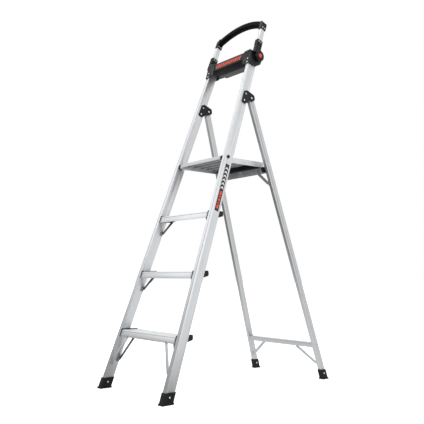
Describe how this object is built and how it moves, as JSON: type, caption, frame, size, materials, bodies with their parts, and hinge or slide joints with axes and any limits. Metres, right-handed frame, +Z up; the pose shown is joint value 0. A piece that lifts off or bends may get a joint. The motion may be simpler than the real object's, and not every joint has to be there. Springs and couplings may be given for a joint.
{
  "type": "platform step ladder",
  "caption": "Folding aluminium platform step ladder with flat steps, folding rear frame, folding platform, tool tray and folding hand rail.",
  "frame": {"origin": "middle of the floor area that the four shoes cover, at floor level", "axes": "+Z up, +Y from the steps towards the rear frame, +X to the right of someone facing the steps"},
  "size_m": [0.5548, 1.0816, 1.9406],
  "materials": {
    "aluminium": "satin mill-finished extrusion",
    "bright_steel": "bright rivets and pins",
    "black_plastic": "fine moulded grain",
    "black_rubber": "ribbed matt rubber",
    "orange_plastic": "smooth moulded"
  },
  "bodies": {
    "front_frame": {"left_end_casting": "black_plastic", "left_front_rail": "aluminium", "left_front_shoe": "black_rubber", "left_hinge_pin": "bright_steel", "left_inner_hinge_plate": "black_plastic", "left_outer_hinge_plate": "black_plastic", "platform_left_pivot_bolt": "black_plastic", "platform_right_pivot_bolt": "black_plastic", "right_end_casting": "black_plastic", "right_front_rail": "aluminium", "right_front_shoe": "black_rubber", "right_hinge_pin": "bright_steel", "right_inner_hinge_plate": "black_plastic", "right_outer_hinge_plate": "black_plastic", "step_1": "aluminium", "step_1_left_cap": "black_plastic", "step_1_left_front_brace": "aluminium", "step_1_left_rear_brace": "aluminium", "step_1_right_cap": "black_plastic", "step_1_right_front_brace": "aluminium", "step_1_right_rear_brace": "aluminium", "step_2": "aluminium", "step_2_left_brace": "aluminium", "step_2_left_cap": "black_plastic", "step_2_right_brace": "aluminium", "step_2_right_cap": "black_plastic", "step_3": "aluminium", "step_3_left_brace": "aluminium", "step_3_left_cap": "black_plastic", "step_3_right_brace": "aluminium", "step_3_right_cap": "black_plastic", "tool_tray": "black_plastic"},
    "rear_frame": {"left_corner_block": "black_plastic", "left_rear_leg": "aluminium", "left_rear_shoe": "black_rubber", "lower_crossbar": "aluminium", "lower_left_leg_brace": "aluminium", "lower_right_leg_brace": "aluminium", "platform_catch": "bright_steel", "right_corner_block": "black_plastic", "right_rear_leg": "aluminium", "right_rear_shoe": "black_rubber", "upper_crossbar": "aluminium", "upper_left_leg_brace": "aluminium", "upper_right_leg_brace": "aluminium"},
    "platform": {"platform_deck": "aluminium", "platform_left_pivot_bracket": "black_plastic", "platform_left_side": "aluminium", "platform_rest_strip": "black_plastic", "platform_right_pivot_bracket": "black_plastic", "platform_right_side": "aluminium"},
    "hand_rail": {"hand_grip": "black_rubber", "left_handle_arm": "black_plastic", "left_handle_corner": "black_plastic", "left_handle_tube": "aluminium", "right_handle_arm": "black_plastic", "right_handle_corner": "black_plastic", "right_handle_tube": "aluminium"},
    "left_button": {"left_lock_button": "orange_plastic"},
    "right_button": {"right_lock_button": "orange_plastic"}
  },
  "joints": [
    {"name": "rear_frame_fold", "type": "hinge", "parent": "front_frame", "child": "rear_frame", "pos_m": [0, 0.06825, 1.45645], "axis": [-1, 0, 0], "range_deg": [0, 35.5]},
    {"name": "platform_fold", "type": "hinge", "parent": "front_frame", "child": "platform", "pos_m": [0, -0.10786, 1.12595], "axis": [1, 0, 0], "range_deg": [0, 70]},
    {"name": "hand_rail_fold", "type": "hinge", "parent": "front_frame", "child": "hand_rail", "pos_m": [0, 0.12557, 1.69525], "axis": [-1, 0, 0], "range_deg": [0, 150]},
    {"name": "left_button_press", "type": "slide", "parent": "hand_rail", "child": "left_button", "axis": [1, 0, 0], "range_m": [0, 0.004], "stiffness_N_per_m": 800},
    {"name": "right_button_press", "type": "slide", "parent": "hand_rail", "child": "right_button", "axis": [-1, 0, 0], "range_m": [0, 0.004], "stiffness_N_per_m": 800}
  ],
  "couplings": [
    {"joint": "platform_fold", "follows": "rear_frame_fold", "ratio": 1.97}
  ]
}
